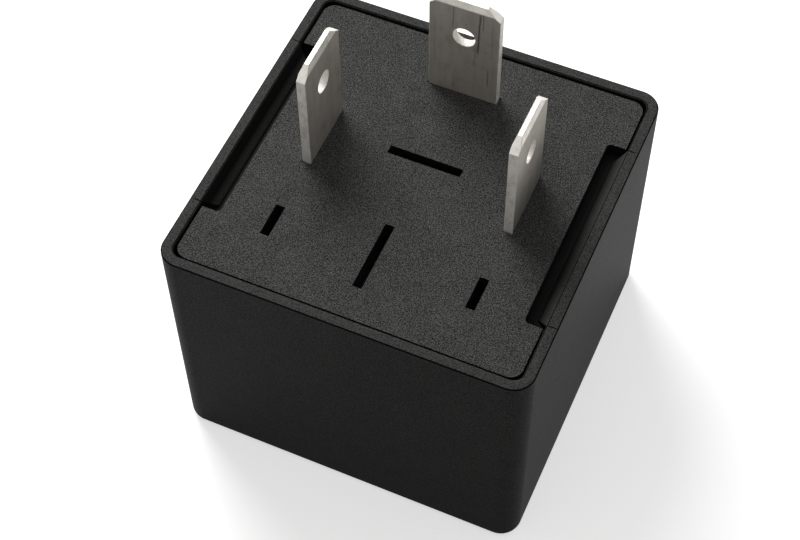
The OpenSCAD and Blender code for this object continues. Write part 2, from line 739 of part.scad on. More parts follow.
// tension spring from the armature's finger up to the yoke's, one hook at each end
module return_spring() {
    low = arm_bot + arm_t / 2 + (hinge_y - spring_y) * sin(open_angle);
    high = pole_face + spring_l + lug_t / 2;
    loop_low = norm([finger_half, arm_t / 2]) + spring_wire_r + loop_gap;
    loop_high = norm([finger_half, lug_t / 2]) + spring_wire_r + loop_gap;
    body_low = low + loop_low + loop_neck;
    body_high = high - loop_high - loop_neck;
    steps = 12;
    count = spring_turns * steps;
    lower_hook = [for (a = [-210:20:90]) [loop_low * cos(a), spring_y, low + loop_low * sin(a)]];
    coils = [for (i = [0:count]) [spring_r * cos(360 * i / steps), spring_y + spring_r * sin(360 * i / steps),
        body_low + (body_high - body_low) * i / count]];
    upper_hook = [for (a = [-90:20:210]) [loop_high * cos(a), spring_y, high + loop_high * sin(a)]];
    color([0.7, 0.7, 0.72])
        swept(concat(lower_hook, coils, upper_hook), spring_wire_r, 6, [0, 1, 0]);
}

// soft lead from the supply blade's inner leg to the leaf
module braid() {
    leaf_z = leaf_top - (braid_end_y - hinge_y) * sin(open_angle);
    a = [-side_blade_x + blade_t / 2 + braid_r + braid_touch,
        side_blade_y + leg_w / 2 - braid_r - braid_leg_inset, side_leg_bot + braid_rise];
    b = [a.x + braid_leg_inset / 2, flange_back + braid_clear, a.z - braid_fall];
    d = [braid_end_x, braid_end_y, leaf_z + braid_r + braid_touch];
    c = [-stop_half_gap - stop_w - 2 * braid_leg_inset, flange_back + braid_bow, d.z + braid_lift];
    path = [for (i = [0:16]) let (s = i / 16, q = 1 - s)
        q * q * q * a + 3 * q * q * s * b + 3 * q * s * s * c + s * s * s * d];
    color([0.75, 0.42, 0.25]) swept(path, braid_r, 8, [0, 1, 0]);
}

// straight wire from the winding out through a side blade's leg
module coil_wire(side) {
    start_x = sqrt(pow(winding_r, 2) - pow(coil_wire_y - coil_y, 2)) + wire_start_gap;
    color([0.7, 0.38, 0.2])
        rod([side * start_x, coil_wire_y, coil_wire_z], [side * wire_end, coil_wire_y, coil_wire_z], coil_wire_r);
}

module resistor_body() {
    r = resistor_r;
    half = resistor_l / 2;
    caps = [[0, 0], [r - resistor_edge, 0], [r, resistor_edge], [r, resistor_cap_l],
        [r - resistor_step, resistor_cap_l + resistor_step]];
    color([0.3, 0.45, 0.6]) translate([0, resistor_y, resistor_z]) rotate([0, 90, 0]) rotate_extrude()
        polygon([for (m = [-1, 1], q = m < 0 ? caps : [for (i = [len(caps) - 1:-1:0]) caps[i]])
            [q.x, m * (half - q.y)]]);
}

module resistor_leads() {
    z = resistor_z;
    bend_x = side_blade_x - blade_t / 2 - lead_bend_gap;
    color([0.75, 0.75, 0.75]) for (s = [-1, 1])
        wire([[s * (resistor_l / 2 + solder_gap), resistor_y, z], [s * bend_x, resistor_y, z],
            [s * bend_x, lead_y, z], [s * wire_end, lead_y, z]], lead_r);
}

// cone of solder round each wire on the outer face of its leg
module solder_joints() {
    color([0.78, 0.78, 0.78]) for (s = [-1, 1], p = [[coil_wire_y, coil_wire_z, coil_wire_r],
        [lead_y, resistor_z, lead_r]])
        translate([s * (side_blade_x + blade_t / 2), p[0], p[1]]) rotate([0, s * 90, 0])
            rotate_extrude($fn = small_fn) polygon([[p[2] + solder_gap, 0], [p[2] + solder_w, 0],
                [p[2] + solder_w / 4, solder_h], [p[2] + solder_gap, solder_h]]);
}

case_can();  // case
base_plate();
load_blade();
supply_blade();
coil_blade();
contact_bracket();
yoke();
core();
bobbin();
winding();
winding_tape();
armature();
residual_stud();
contact_leaf();
leaf_rivets();
moving_contact();
fixed_contact();
return_spring();
braid();
coil_wire(-1);  // supply_coil_wire
coil_wire(1);  // return_coil_wire
resistor_body();
resistor_leads();
solder_joints();
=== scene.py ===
# Automotive relay, standing on the closed end of its can with its three blades up.
import math
import bmesh
import bpy
from mathutils import Matrix, Vector


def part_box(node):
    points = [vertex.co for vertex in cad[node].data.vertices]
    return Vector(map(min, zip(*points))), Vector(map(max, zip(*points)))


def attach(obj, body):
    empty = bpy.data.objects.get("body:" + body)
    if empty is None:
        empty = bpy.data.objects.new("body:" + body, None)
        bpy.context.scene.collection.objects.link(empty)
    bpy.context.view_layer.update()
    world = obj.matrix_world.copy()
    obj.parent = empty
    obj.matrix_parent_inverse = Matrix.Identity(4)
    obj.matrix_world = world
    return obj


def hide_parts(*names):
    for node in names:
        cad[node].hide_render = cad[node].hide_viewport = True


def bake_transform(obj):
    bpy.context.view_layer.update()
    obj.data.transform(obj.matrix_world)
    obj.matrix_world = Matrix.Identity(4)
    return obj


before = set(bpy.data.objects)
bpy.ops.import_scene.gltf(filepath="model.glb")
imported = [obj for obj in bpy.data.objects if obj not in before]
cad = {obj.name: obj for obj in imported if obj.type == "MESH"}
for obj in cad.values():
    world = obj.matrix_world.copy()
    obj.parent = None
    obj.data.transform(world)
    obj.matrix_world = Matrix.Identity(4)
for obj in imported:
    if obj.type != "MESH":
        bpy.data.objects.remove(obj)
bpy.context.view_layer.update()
mm = 0.001
perMetre = 1000.0
print("frame loaded:", len(cad), "solids")


# ---- small helpers for shader nodes ----
def put(tree, kind, **settings):
    node = tree.nodes.new(kind)
    for key, value in settings.items():
        setattr(node, key, value)
    return node


def feed(tree, source, target):
    # a socket is linked, anything else is set as the value
    if hasattr(source, "bl_idname"):
        tree.links.new(source, target)
    else:
        target.default_value = source


def maths(tree, operation, a, b=None, c=None, clamp=False):
    node = put(tree, "ShaderNodeMath", operation=operation, use_clamp=clamp)
    for i, value in enumerate((a, b, c)):
        if value is not None:
            feed(tree, value, node.inputs[i])
    return node.outputs[0]


def ramp(tree, value, low, high, toLow=0.0, toHigh=1.0):
    node = put(tree, "ShaderNodeMapRange", clamp=True)
    for i, v in enumerate((value, low, high, toLow, toHigh)):
        feed(tree, v, node.inputs[i])
    return node.outputs[0]


def noiseAt(tree, vector, scale, detail=2.0, roughness=0.5):
    node = put(tree, "ShaderNodeTexNoise", noise_dimensions="3D")
    feed(tree, vector, node.inputs["Vector"])
    feed(tree, scale, node.inputs["Scale"])
    node.inputs["Detail"].default_value = detail
    node.inputs["Roughness"].default_value = roughness
    return node.outputs[0]


def stretched(tree, vector, factors):
    node = put(tree, "ShaderNodeVectorMath", operation="MULTIPLY")
    feed(tree, vector, node.inputs[0])
    node.inputs[1].default_value = factors
    return node.outputs[0]


def splitAxes(tree, vector):
    node = put(tree, "ShaderNodeSeparateXYZ")
    feed(tree, vector, node.inputs[0])
    return node.outputs


def joinAxes(tree, parts):
    node = put(tree, "ShaderNodeCombineXYZ")
    for i, part in enumerate(parts):
        feed(tree, part, node.inputs[i])
    return node.outputs[0]


def newGroup(name, inputs, outputs):
    tree = bpy.data.node_groups.new(name, "ShaderNodeTree")
    for label, kind, value in inputs:
        socket = tree.interface.new_socket(name=label, in_out="INPUT", socket_type=kind)
        if value is not None:
            socket.default_value = value
    for label, kind in outputs:
        tree.interface.new_socket(name=label, in_out="OUTPUT", socket_type=kind)
    return tree, put(tree, "NodeGroupInput").outputs, put(tree, "NodeGroupOutput").inputs


def useGroup(tree, group, values):
    node = put(tree, "ShaderNodeGroup", node_tree=group)
    for label, value in values.items():
        feed(tree, value, node.inputs[label])
    return node.outputs


number = "NodeSocketFloat"
vector3 = "NodeSocketVector"


# ---- shared effects ----
sparkMix = {
    "fineScale": 2.3,        # times the scale of the coarse grain
    "cloudScale": 0.05,
    "coarseShare": 0.65,
    "fineShare": 0.35,
    "spread": 4.0,           # contrast about the middle
    "drift": 0.25,           # of the slow clouds
    "glintFrom": 0.62,
    "glintTo": 0.72,
    "darkest": 0.15,
}


def makeSparkGrain():
    # pits and crumbs left by a spark-eroded mould
    mix = sparkMix
    tree, given, out = newGroup("sparkGrain",
        [("Vector", vector3, None), ("Scale", number, 6000.0), ("Contrast", number, 0.3),
            ("Sparkle", number, 0.5)],
        [("Shade", number), ("Height", number)])
    vector, scale = given["Vector"], given["Scale"]
    coarse = noiseAt(tree, vector, scale, 2.0, 0.6)
    fine = noiseAt(tree, vector, maths(tree, "MULTIPLY", scale, mix["fineScale"]), 1.0, 0.5)
    cloud = noiseAt(tree, vector, maths(tree, "MULTIPLY", scale, mix["cloudScale"]), 3.0, 0.6)
    coarsePart = maths(tree, "MULTIPLY", coarse, mix["coarseShare"])
    crumbs = maths(tree, "ADD", coarsePart, maths(tree, "MULTIPLY", fine, mix["fineShare"]))
    spread = maths(tree, "MULTIPLY", maths(tree, "SUBTRACT", crumbs, 0.5), mix["spread"])
    drift = maths(tree, "MULTIPLY", maths(tree, "SUBTRACT", cloud, 0.5), mix["drift"])
    shade = maths(tree, "MULTIPLY_ADD", maths(tree, "ADD", spread, drift), given["Contrast"], 1.0)
    # painted glints: bright specks in the colour stand for tiny highlights on the grain
    glint = maths(tree, "MULTIPLY", ramp(tree, fine, mix["glintFrom"], mix["glintTo"]), given["Sparkle"])
    feed(tree, maths(tree, "MAXIMUM", maths(tree, "ADD", shade, glint), mix["darkest"]), out["Shade"])
    feed(tree, crumbs, out["Height"])
    return tree


rolledScale = {"streak": 0.4, "fine": 2.2, "blotch": 900.0}


def makeRolledStreaks():
    # bright and dull lines that rolling leaves along the strip
    tree, given, out = newGroup("rolledStreaks",
        [("Vector", vector3, None), ("Across", number, 3000.0), ("Along", number, 120.0)],
        [("Streak", number), ("Fine", number), ("Blotch", number)])
    x, y, z = splitAxes(tree, given["Vector"])
    across = given["Across"]
    drawn = joinAxes(tree, [maths(tree, "MULTIPLY", x, across), maths(tree, "MULTIPLY", y, across),
        maths(tree, "MULTIPLY", z, given["Along"])])
    feed(tree, noiseAt(tree, drawn, rolledScale["streak"], 3.0, 0.6), out["Streak"])
    feed(tree, noiseAt(tree, drawn, rolledScale["fine"], 2.0, 0.7), out["Fine"])
    feed(tree, noiseAt(tree, given["Vector"], rolledScale["blotch"], 4.0, 0.65), out["Blotch"])
    return tree


scratchForm = {  # the fade is in shares of the length
    "waveScale": 1.7,
    "fadeFrom": 0.3,
    "fadeTo": 0.5,
}


def makeScratch():
    # one wavering line in a plane: U and V are the place on the surface, in millimetres
    form = scratchForm
    tree, given, out = newGroup("scratch",
        [("U", number, 0.0), ("V", number, 0.0), ("At U", number, 0.0), ("At V", number, 0.0),
            ("Length", number, 1.0), ("Width", number, 0.05), ("Lean", number, 0.0),
            ("Waver", number, 0.05)],
        [("Mask", number)])
    du = maths(tree, "SUBTRACT", given["U"], given["At U"])
    dv = maths(tree, "SUBTRACT", given["V"], given["At V"])
    wave = noiseAt(tree, dv, form["waveScale"], 3.0, 0.6)
    offset = maths(tree, "MULTIPLY", maths(tree, "SUBTRACT", wave, 0.5), given["Waver"])
    side = maths(tree, "SUBTRACT", du, maths(tree, "MULTIPLY_ADD", dv, given["Lean"], offset))
    near = ramp(tree, maths(tree, "ABSOLUTE", side), 0.0, given["Width"], 1.0, 0.0)
    reach = maths(tree, "DIVIDE", maths(tree, "ABSOLUTE", dv), given["Length"])
    fade = ramp(tree, reach, form["fadeFrom"], form["fadeTo"], 1.0, 0.0)
    feed(tree, maths(tree, "MULTIPLY", near, fade), out["Mask"])
    return tree


def makeSpecks():
    # scattered small spots
    tree, given, out = newGroup("specks",
        [("Vector", vector3, None), ("Scale", number, 1500.0), ("Size", number, 0.2),
            ("Share", number, 0.3)],
        [("Mask", number)])
    cells = put(tree, "ShaderNodeTexVoronoi", feature="F1")
    feed(tree, given["Vector"], cells.inputs["Vector"])
    feed(tree, given["Scale"], cells.inputs["Scale"])
    dot = ramp(tree, cells.outputs["Distance"], 0.0, given["Size"], 1.0, 0.0)
    split = put(tree, "ShaderNodeSeparateColor")
    feed(tree, cells.outputs["Color"], split.inputs[0])
    chosen = maths(tree, "LESS_THAN", split.outputs[0], given["Share"])
    feed(tree, maths(tree, "MULTIPLY", dot, chosen), out["Mask"])
    return tree


sparkGrain = makeSparkGrain()
rolledStreaks = makeRolledStreaks()
scratchLine = makeScratch()
specks = makeSpecks()


def newMaterial(name, roughness=0.5, metallic=0.0, specular=0.5):
    material = bpy.data.materials.new(name)
    material.use_nodes = True
    tree = material.node_tree
    shader = tree.nodes["Principled BSDF"]
    shader.inputs["Roughness"].default_value = roughness
    shader.inputs["Metallic"].default_value = metallic
    shader.inputs["Specular IOR Level"].default_value = specular
    place = put(tree, "ShaderNodeTexCoord").outputs["Object"]
    return material, tree, shader.inputs, place


def tinted(tree, color, shade):
    # a colour made lighter or darker by a value
    node = put(tree, "ShaderNodeVectorMath", operation="SCALE")
    if hasattr(color, "bl_idname"):
        feed(tree, color, node.inputs[0])
    else:
        node.inputs[0].default_value = color
    feed(tree, shade, node.inputs["Scale"])
    return node.outputs[0]


def blended(tree, mask, a, b):
    node = put(tree, "ShaderNodeMix", data_type="RGBA")
    feed(tree, mask, node.inputs[0])
    feed(tree, a if hasattr(a, "bl_idname") else (*a, 1.0), node.inputs[6])
    feed(tree, b if hasattr(b, "bl_idname") else (*b, 1.0), node.inputs[7])
    return node.outputs[2]


def bumped(tree, height, distance, strength=1.0):
    node = put(tree, "ShaderNodeBump")
    node.inputs["Strength"].default_value = strength
    node.inputs["Distance"].default_value = distance
    feed(tree, height, node.inputs["Height"])
    return node.outputs["Normal"]


# ---- moulded plastic ----
def mouldedPlastic(name, look, paintedShadeRise=None):
    material, tree, face, place = newMaterial(name, look["roughness"], 0.0, look["specular"])
    grain = useGroup(tree, sparkGrain, {"Vector": place, "Scale": look["grainScale"],
        "Contrast": look["contrast"], "Sparkle": look["sparkle"]})
    shade = grain["Shade"]
    # painted shade: the colour is scaled by height from the lower shade to the upper
    if paintedShadeRise:
        low, lowShade, high, highShade = paintedShadeRise
        height = splitAxes(tree, place)[2]
        shade = maths(tree, "MULTIPLY", shade, ramp(tree, height, low, high, lowShade, highShade))
    feed(tree, tinted(tree, look["color"], shade), face["Base Color"])
    feed(tree, bumped(tree, grain["Height"], look["depth"]), face["Normal"])
    return material


plastic = {
    "plate": {"color": (0.0395, 0.0395, 0.0385), "roughness": 0.66, "specular": 0.05,
        "grainScale": 9500.0, "contrast": 3.1, "sparkle": 5.0, "depth": 0.03 * mm},
    "rim": {"color": (0.040, 0.040, 0.039), "roughness": 0.66, "specular": 0.05,
        "grainScale": 7000.0, "contrast": 1.2, "sparkle": 0.4, "depth": 0.02 * mm},
    "wall": {"color": (0.0148, 0.0148, 0.0143), "roughness": 0.5, "specular": 0.022,
        "grainScale": 8000.0, "contrast": 1.8, "sparkle": 0.0, "depth": 0.008 * mm},
    # painted shadow: the near black of the rim's edge line, the ticks and the witness line stands for the
    # shade of small steps and gaps
    "line": {"color": (0.003, 0.003, 0.003), "roughness": 0.8, "specular": 0.02,
        "grainScale": 7000.0, "contrast": 0.1, "sparkle": 0.0, "depth": 0.004 * mm},
    # painted shade: near black inside the can, on its seat ribs and on the walls of the plate's slots and
    # notches
    "inside": {"color": (0.005, 0.005, 0.005), "roughness": 0.6, "specular": 0.06,
        "grainScale": 5000.0, "contrast": 0.1, "sparkle": 0.0, "depth": 0.006 * mm},
    "lip": {"color": (0.013, 0.013, 0.0125), "roughness": 0.6, "specular": 0.03,
        "grainScale": 6400.0, "contrast": 0.4, "sparkle": 0.2, "depth": 0.01 * mm},
}
# painted shade by height, for how light falls: the lower height and its shade, the upper height and its
# shade
paintedHeightShade = {
    # the walls and the right snap lip are painted paler towards the rim
    "wall": (1.0 * mm, 0.74, 25.6 * mm, 1.34),
    "rightLip": (24.35 * mm, 0.35, 25.5 * mm, 3.2),
    # the left snap lip is painted dark at the top and paler at its foot
    "leftLip": (24.55 * mm, 2.6, 24.95 * mm, 0.25),
}
plasticMaterials = {}
for key, look in plastic.items():
    plasticMaterials[key] = mouldedPlastic("plastic_" + key, look, paintedHeightShade.get(key))
for key in ("rightLip", "leftLip"):
    plasticMaterials[key] = mouldedPlastic("plastic_" + key, plastic["lip"], paintedHeightShade[key])
print("plastics made")


# ---- mesh helpers ----
hair = 0.001          # millimetres, for telling two places apart
leaning = 0.5         # a normal with less than this along an axis belongs to a wall along that axis


def finishPiece(name, mesh, materials, body, replaced):
    for material in materials:
        mesh.materials.append(material)
    piece = bpy.data.objects.new(name, mesh)
    bpy.context.scene.collection.objects.link(piece)
    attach(piece, body)
    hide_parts(*replaced)
    return piece


def meshFrom(bm, name):
    bmesh.ops.recalc_face_normals(bm, faces=bm.faces[:])
    for face in bm.faces:
        face.smooth = True
    mesh = bpy.data.meshes.new(name)
    bm.to_mesh(mesh)
    bm.free()
    return mesh


def roundEdges(piece, width, segments, angle, edgeMaterial=-1):
    bevel = piece.modifiers.new("edges", "BEVEL")
    bevel.width = width
    bevel.segments = segments
    bevel.limit_method = "ANGLE"
    bevel.angle_limit = math.radians(angle)
    bevel.harden_normals = True
    bevel.material = edgeMaterial


def addBlock(bm, low, high):
    made = bmesh.ops.create_cube(bm, size=1.0)["verts"]
    for v in made:
        v.co = Vector([low[i] if v.co[i] < 0 else high[i] for i in range(3)])
    return made


def ringAt(bm, centre, radius, z, steps):
    ring = []
    for k in range(steps):
        a = 2 * math.pi * k / steps
        ring.append(bm.verts.new((centre[0] + radius * math.cos(a), centre[1] + radius * math.sin(a), z)))
    return ring


def addLathe(bm, profile, steps, centre):
    # profile is a list of (radius, height); a radius of 0 closes the end
    rings = []
    for radius, z in profile:
        if radius == 0:
            rings.append([bm.verts.new((centre[0], centre[1], z))])
        else:
            rings.append(ringAt(bm, centre, radius, z, steps))
    joinRings(bm, rings)


def joinRings(bm, rings, pickMaterial=None):
    for i in range(len(rings) - 1):
        a, b = rings[i], rings[i + 1]
        count = max(len(a), len(b))
        for k in range(count):
            n = (k + 1) % count
            corners = [a[k % len(a)], a[n % len(a)], b[n % len(b)], b[k % len(b)]]
            corners = list(dict.fromkeys(corners))
            if len(corners) < 3:
                continue
            face = bm.faces.new(corners)
            if pickMaterial:
                face.material_index = pickMaterial(i, k)


def arcPoints(cx, cy, radius, start, end, steps):
    points = []
    for k in range(steps + 1):
        a = math.radians(start + (end - start) * k / steps)
        points.append((cx + radius * math.cos(a), cy + radius * math.sin(a)))
    return points


# ---- the can ----
canShape = {  # millimetres
    "wall": 1.0,
    "closedEnd": 1.2,
    "cornerRadius": 1.9,
    "cornerSteps": 12,
    "cornerAngle": 50.0,         # degrees; sharper folds keep a hard edge
    "floorEdge": 0.8,
    "floorSteps": 8,
    "wallRows": (0.35, 0.7),     # extra rows up the wall, shares of its height
    "rimRows": (0.4, 0.7),       # and across the rim, shares of the wall
    "lineEase": (0.35, 0.3),
    "endPoints": (-8.0, -4.0, 0.0, 4.0, 8.0),
    "lipPoints": (-4.0, 0.0, 4.0),
    "rimLine": 0.1,              # painted shadow: a near black line round the rim for the shadow of a small step
    "innerEdge": 0.1,
    "wallFoot": 0.3,
    "insideRow": 4.0,            # below the rim, clear of the lips
    "wedgeLength": 18.9,
    "wedgeReach": 1.0,
    "wedgeHeight": 1.35,
    "wedgeLip": 0.15,
    "wedgeBelowRim": 0.1,
    "wedgeRoot": 0.3,            # how far it runs into the wall
    "tickWidth": 0.05,
    "tickDepth": 0.05,
    "frontTickFrom": 1,          # the row where the front right tick starts
    "otherTickFrom": 14,         # and where the other three do, short of the outer edge
    "ribWidth": 1.0,
    "ribReach": 0.9,
    "ribInset": 3.0,
    "ribTop": 22.75,
    "ribRoot": 0.2,
}


# half the width, half the depth and the height of the rim
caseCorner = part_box("case")[1]
halfW = caseCorner.x / mm
halfD = caseCorner.y / mm
rim = caseCorner.z / mm


def sideMarks():
    # places along the left and right walls where the lips and their ticks start and stop
    s = canShape
    end = s["wedgeLength"] / 2
    marks = [-end - s["tickWidth"], -end, -end + s["tickWidth"]]
    return marks + list(s["lipPoints"]) + [-m for m in reversed(marks)]


def canLoop(inset):
    s = canShape
    w = halfW - inset
    d = halfD - inset
    r = s["cornerRadius"] - inset
    n = s["cornerSteps"]
    marks = sideMarks()
    points = arcPoints(w - r, -d + r, r, -90, 0, n)
    points += [(w, y) for y in marks]
    points += arcPoints(w - r, d - r, r, 0, 90, n)
    points += [(-x, d) for x in s["endPoints"]]
    points += arcPoints(-w + r, d - r, r, 90, 180, n)
    points += [(-w, y) for y in reversed(marks)]
    points += arcPoints(-w + r, -d + r, r, 180, 270, n)
    points += [(x, -d) for x in s["endPoints"]]
    return points


def canRows():
    # each row: how far in from the outside, height, material (0 wall, 1 rim, 2 line of painted shadow, 3
    # inside, painted shade)
    s = canShape
    rows = []
    e = s["floorEdge"]
    for k in range(s["floorSteps"] + 1):
        a = math.radians(90 * k / s["floorSteps"])
        rows.append((e - e * math.sin(a), e - e * math.cos(a), 0))
    for share in s["wallRows"]:
        rows.append((0.0, rim * share, 0))
    line = s["rimLine"]
    across, down = s["lineEase"]
    rows.append((0.0, rim - line, 2))
    rows.append((line * across, rim - line * down, 2))
    rows.append((line, rim, 1))
    inner = s["innerEdge"]
    wall = s["wall"]
    for share in s["rimRows"]:
        rows.append((wall * share, rim, 1))
    rows.append((wall - inner, rim, 2))
    rows.append((wall - inner * down, rim - inner * down, 1))
    rows.append((wall, rim - inner, 3))
    rows.append((wall, rim - s["wedgeBelowRim"], 3))
    rows.append((wall, rim - s["insideRow"], 3))
    rows.append((wall, s["closedEnd"] + s["wallFoot"], 3))
    rows.append((wall + s["wallFoot"], s["closedEnd"], 3))
    return rows


def addShell(bm):
    s = canShape
    rows = canRows()
    perimeter = canLoop(0.0)
    count = len(perimeter)
    end = s["wedgeLength"] / 2
    onLip = [abs(abs(x) - halfW) < hair and abs(y) <= end + hair for x, y in perimeter]
    tickAt = [k for k in range(count) if onLip[k] and abs(abs(perimeter[k][1]) - end) < hair]
    rings = []
    for inset, z, kind in rows:
        ring = []
        for k, (x, y) in enumerate(canLoop(inset)):
            drop = s["tickDepth"] if k in tickAt and z > rim - s["rimLine"] / 2 else 0.0
            ring.append(bm.verts.new((x * mm, y * mm, (z - drop) * mm)))
        rings.append(ring)

    def kindOf(i, k):
        n = (k + 1) % count
        inset, kind = rows[i][0], rows[i][2]
        beside = k in tickAt or n in tickAt
        front = perimeter[k][0] > 0 and perimeter[k][1] < 0
        tickFrom = s["frontTickFrom"] if front else s["otherTickFrom"]
        # the ticks are cut in and painted near black for the shade in them
        if beside and kind == 1 and i >= tickFrom:
            return 2
        if onLip[k] and onLip[n] and inset == s["wall"] - s["innerEdge"]:
            return 2                       # witness line between the rim and the lip, painted near black for the shade of the small gap there
        return kind

    joinRings(bm, rings, kindOf)
    bm.faces.new(list(reversed(rings[0])))
    closing = bm.faces.new(rings[-1])
    closing.material_index = 3


def addSnapLips(bm):
    # sloping lips, mitred at both ends
    s = canShape
    inside = halfW - s["wall"]
    wedgeEnd = s["wedgeLength"] / 2
    top = rim - s["wedgeBelowRim"]
    bottom = top - s["wedgeHeight"]
    root = inside + s["wedgeRoot"]
    tipX = inside - s["wedgeReach"]
    section = [(root, bottom), (tipX, bottom), (tipX, bottom + s["wedgeLip"]), (inside, top), (root, top)]
    for side in (-1, 1):
        ends = []
        for end in (-1, 1):
            ring = []
            for x, z in section:
                mitre = max(0.0, inside - x)
                ring.append(bm.verts.new((side * x * mm, end * (wedgeEnd - mitre) * mm, z * mm)))
            ends.append(ring)
        a, b = ends
        made = []
        for k in range(len(section)):
            n = (k + 1) % len(section)
            made.append(bm.faces.new((a[k], a[n], b[n], b[k])))
        made.append(bm.faces.new(a))
        made.append(bm.faces.new(list(reversed(b))))
        for face in made:
            face.material_index = 4 if side > 0 else 5


def addSeatRibs(bm):
    # the terminal plate rests on these
    s = canShape
    insideW = halfW - s["wall"]
    insideD = halfD - s["wall"]
    t = s["ribWidth"] / 2
    base = s["closedEnd"] - s["ribRoot"]
    top = s["ribTop"]
    for sx in (-1, 1):
        for sy in (-1, 1):
            y = sy * (insideD - s["ribInset"])
            xs = sorted((sx * (insideW - s["ribReach"]), sx * (insideW + s["wedgeRoot"])))
            made = addBlock(bm, Vector((xs[0], y - t, base)) * mm, Vector((xs[1], y + t, top)) * mm)
            x = sx * (insideW - s["ribInset"])
            ys = sorted((sy * (insideD - s["ribReach"]), sy * (insideD + s["wedgeRoot"])))
            made += addBlock(bm, Vector((x - t, ys[0], base)) * mm, Vector((x + t, ys[1], top)) * mm)
            for v in made:
                for face in v.link_faces:
                    face.material_index = 3


def makeCan():
    bm = bmesh.new()
    addShell(bm)
    addSnapLips(bm)
    addSeatRibs(bm)
    mesh = meshFrom(bm, "can")
    mesh.set_sharp_from_angle(angle=math.radians(canShape["cornerAngle"]))
    kinds = ("wall", "rim", "line", "inside", "rightLip", "leftLip")
    finishes = [plasticMaterials[k] for k in kinds]
    can = finishPiece("can", mesh, finishes, "housing", ["case"])
    weighted = can.modifiers.new("flat_faces", "WEIGHTED_NORMAL")
    weighted.keep_sharp = True
    return can


can = makeCan()
print("can made:", len(can.data.polygons), "faces")


# ---- flat stock cut to an outline ----
def cutSheet(bm, outlines, thickness):
    # outlines are lists of (u, z) in the plane y = 0, the first is the outside; millimetres
    edges = []
    for points in outlines:
        verts = [bm.verts.new((u * mm, -thickness / 2 * mm, z * mm)) for u, z in points]
        for k in range(len(verts)):
            edges.append(bm.edges.new((verts[k], verts[(k + 1) % len(verts)])))
    faces = bmesh.ops.triangle_fill(bm, use_beauty=True, use_dissolve=False, edges=edges)["geom"]
    faces = [f for f in faces if isinstance(f, bmesh.types.BMFace)]
    made = bmesh.ops.extrude_face_region(bm, geom=faces)["geom"]
    verts = [v for v in made if isinstance(v, bmesh.types.BMVert)]
    bmesh.ops.translate(bm, verts=verts, vec=(0.0, thickness * mm, 0.0))


def slotOutline(x, y, lengthX, lengthY):
    u = lengthX / 2
    v = lengthY / 2
    return [(x - u, y - v), (x - u, y + v), (x + u, y + v), (x + u, y - v)]


# ---- the terminal plate ----
plateShape = {  # millimetres
    "top": 25.35,
    "ledge": 24.1,
    "bottom": 22.75,
    "width": 30.0,
    "depth": 29.8,
    "cornerRadius": 1.1,
    "cornerSteps": 8,
    "notchSteps": 4,
    "notchDepth": 1.6,
    "notchLength": 19.4,
    "notchRadius": 0.4,
    "edge": 0.07,
    "edgeSteps": 3,
    "edgeAngle": 30,             # degrees
    "topSkin": 0.2,              # flat faces further down than this are the ledge and the underside
    "slots": [(0.0, 10.3, 6.6, 0.82), (-9.05, 1.0, 0.82, 6.6), (9.05, 1.0, 0.82, 6.6),
        (0.0, 1.85, 6.6, 0.82), (0.0, -8.65, 0.82, 6.6), (-9.05, -8.7, 0.82, 3.15),
        (9.05, -8.7, 0.82, 3.15)],
    "bosses": [(-4.2, 5.3), (4.2, 5.3), (-8.1, -5.35), (8.1, -5.35)],
    "bossRadius": 1.4,
    "pegRadius": 0.8,
    "pegHead": 1.2,
    "yokeTop": 21.95,
    "yokeBottom": 20.45,
    "pegEnd": 19.85,
    "pegRound": [(0.02, 0.15), (0.2, 0.52), (0.35, 0.6)],      # swaged head: in from its edge, and down
    "bossChamfer": 0.1,
    "bossRoot": 0.2,
    "turnSteps": 32,
}


